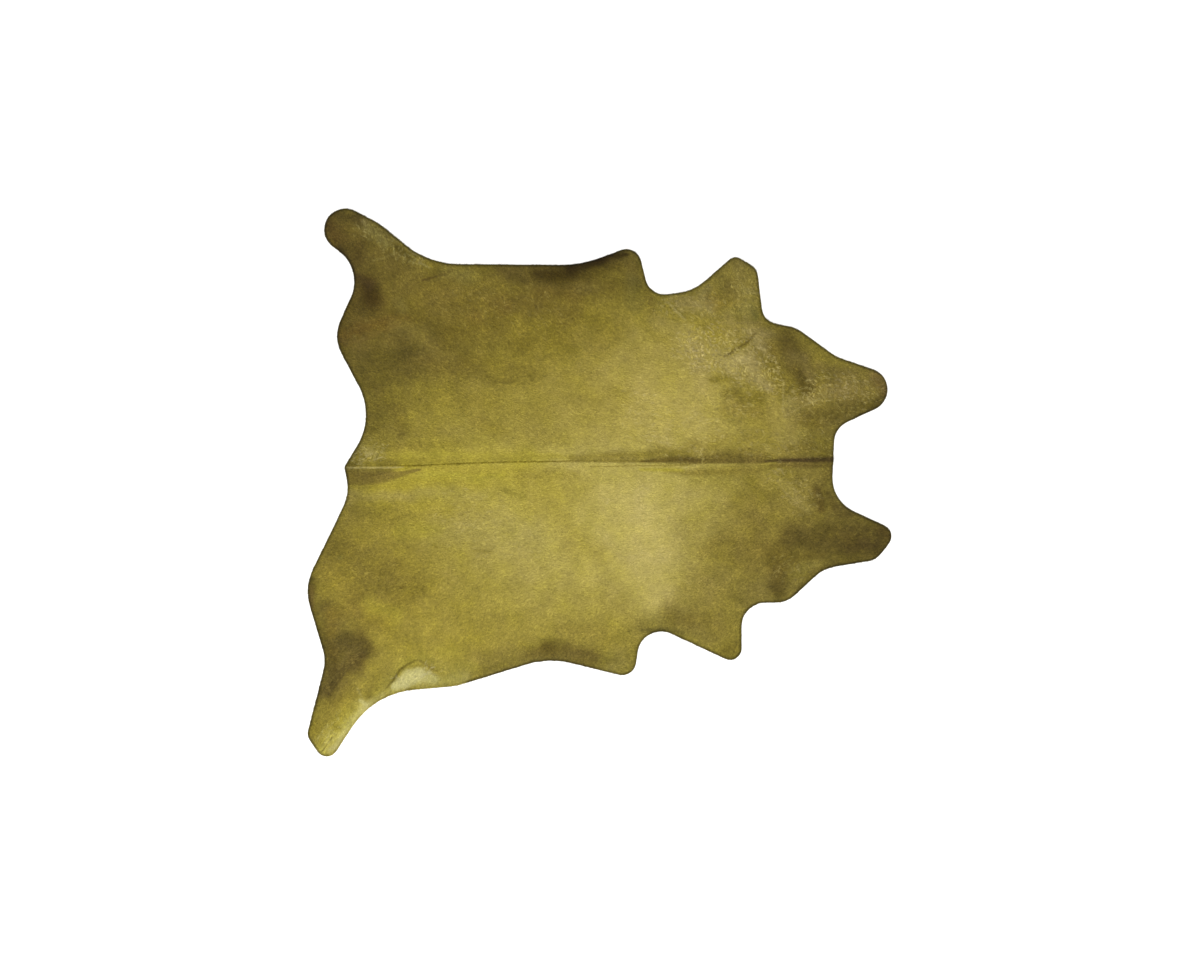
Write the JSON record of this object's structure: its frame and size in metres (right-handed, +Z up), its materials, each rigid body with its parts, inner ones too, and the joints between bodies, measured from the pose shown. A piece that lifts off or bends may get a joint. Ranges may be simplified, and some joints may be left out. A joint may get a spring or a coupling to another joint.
{
  "type": "cowhide rug",
  "caption": "Whole hair-on cowhide rug, dyed olive, lying flat with its hair side up, with leg and neck lobes and a low ridge along the backbone.",
  "frame": {"origin": "on the ground under the middle of the hide's outline, at the bottom centre of its box", "axes": "+X towards the neck, +Y towards the animal's left side, +Z up out of the hair side"},
  "size_m": [2.25, 2.112, 0.0146],
  "materials": {
    "hair_on_hide": "short smooth cow hair lying flat on its leather, dyed mottled olive, with a soft gloss"
  },
  "bodies": {
    "root": {"hide": "hair_on_hide"}
  },
  "joints": []
}
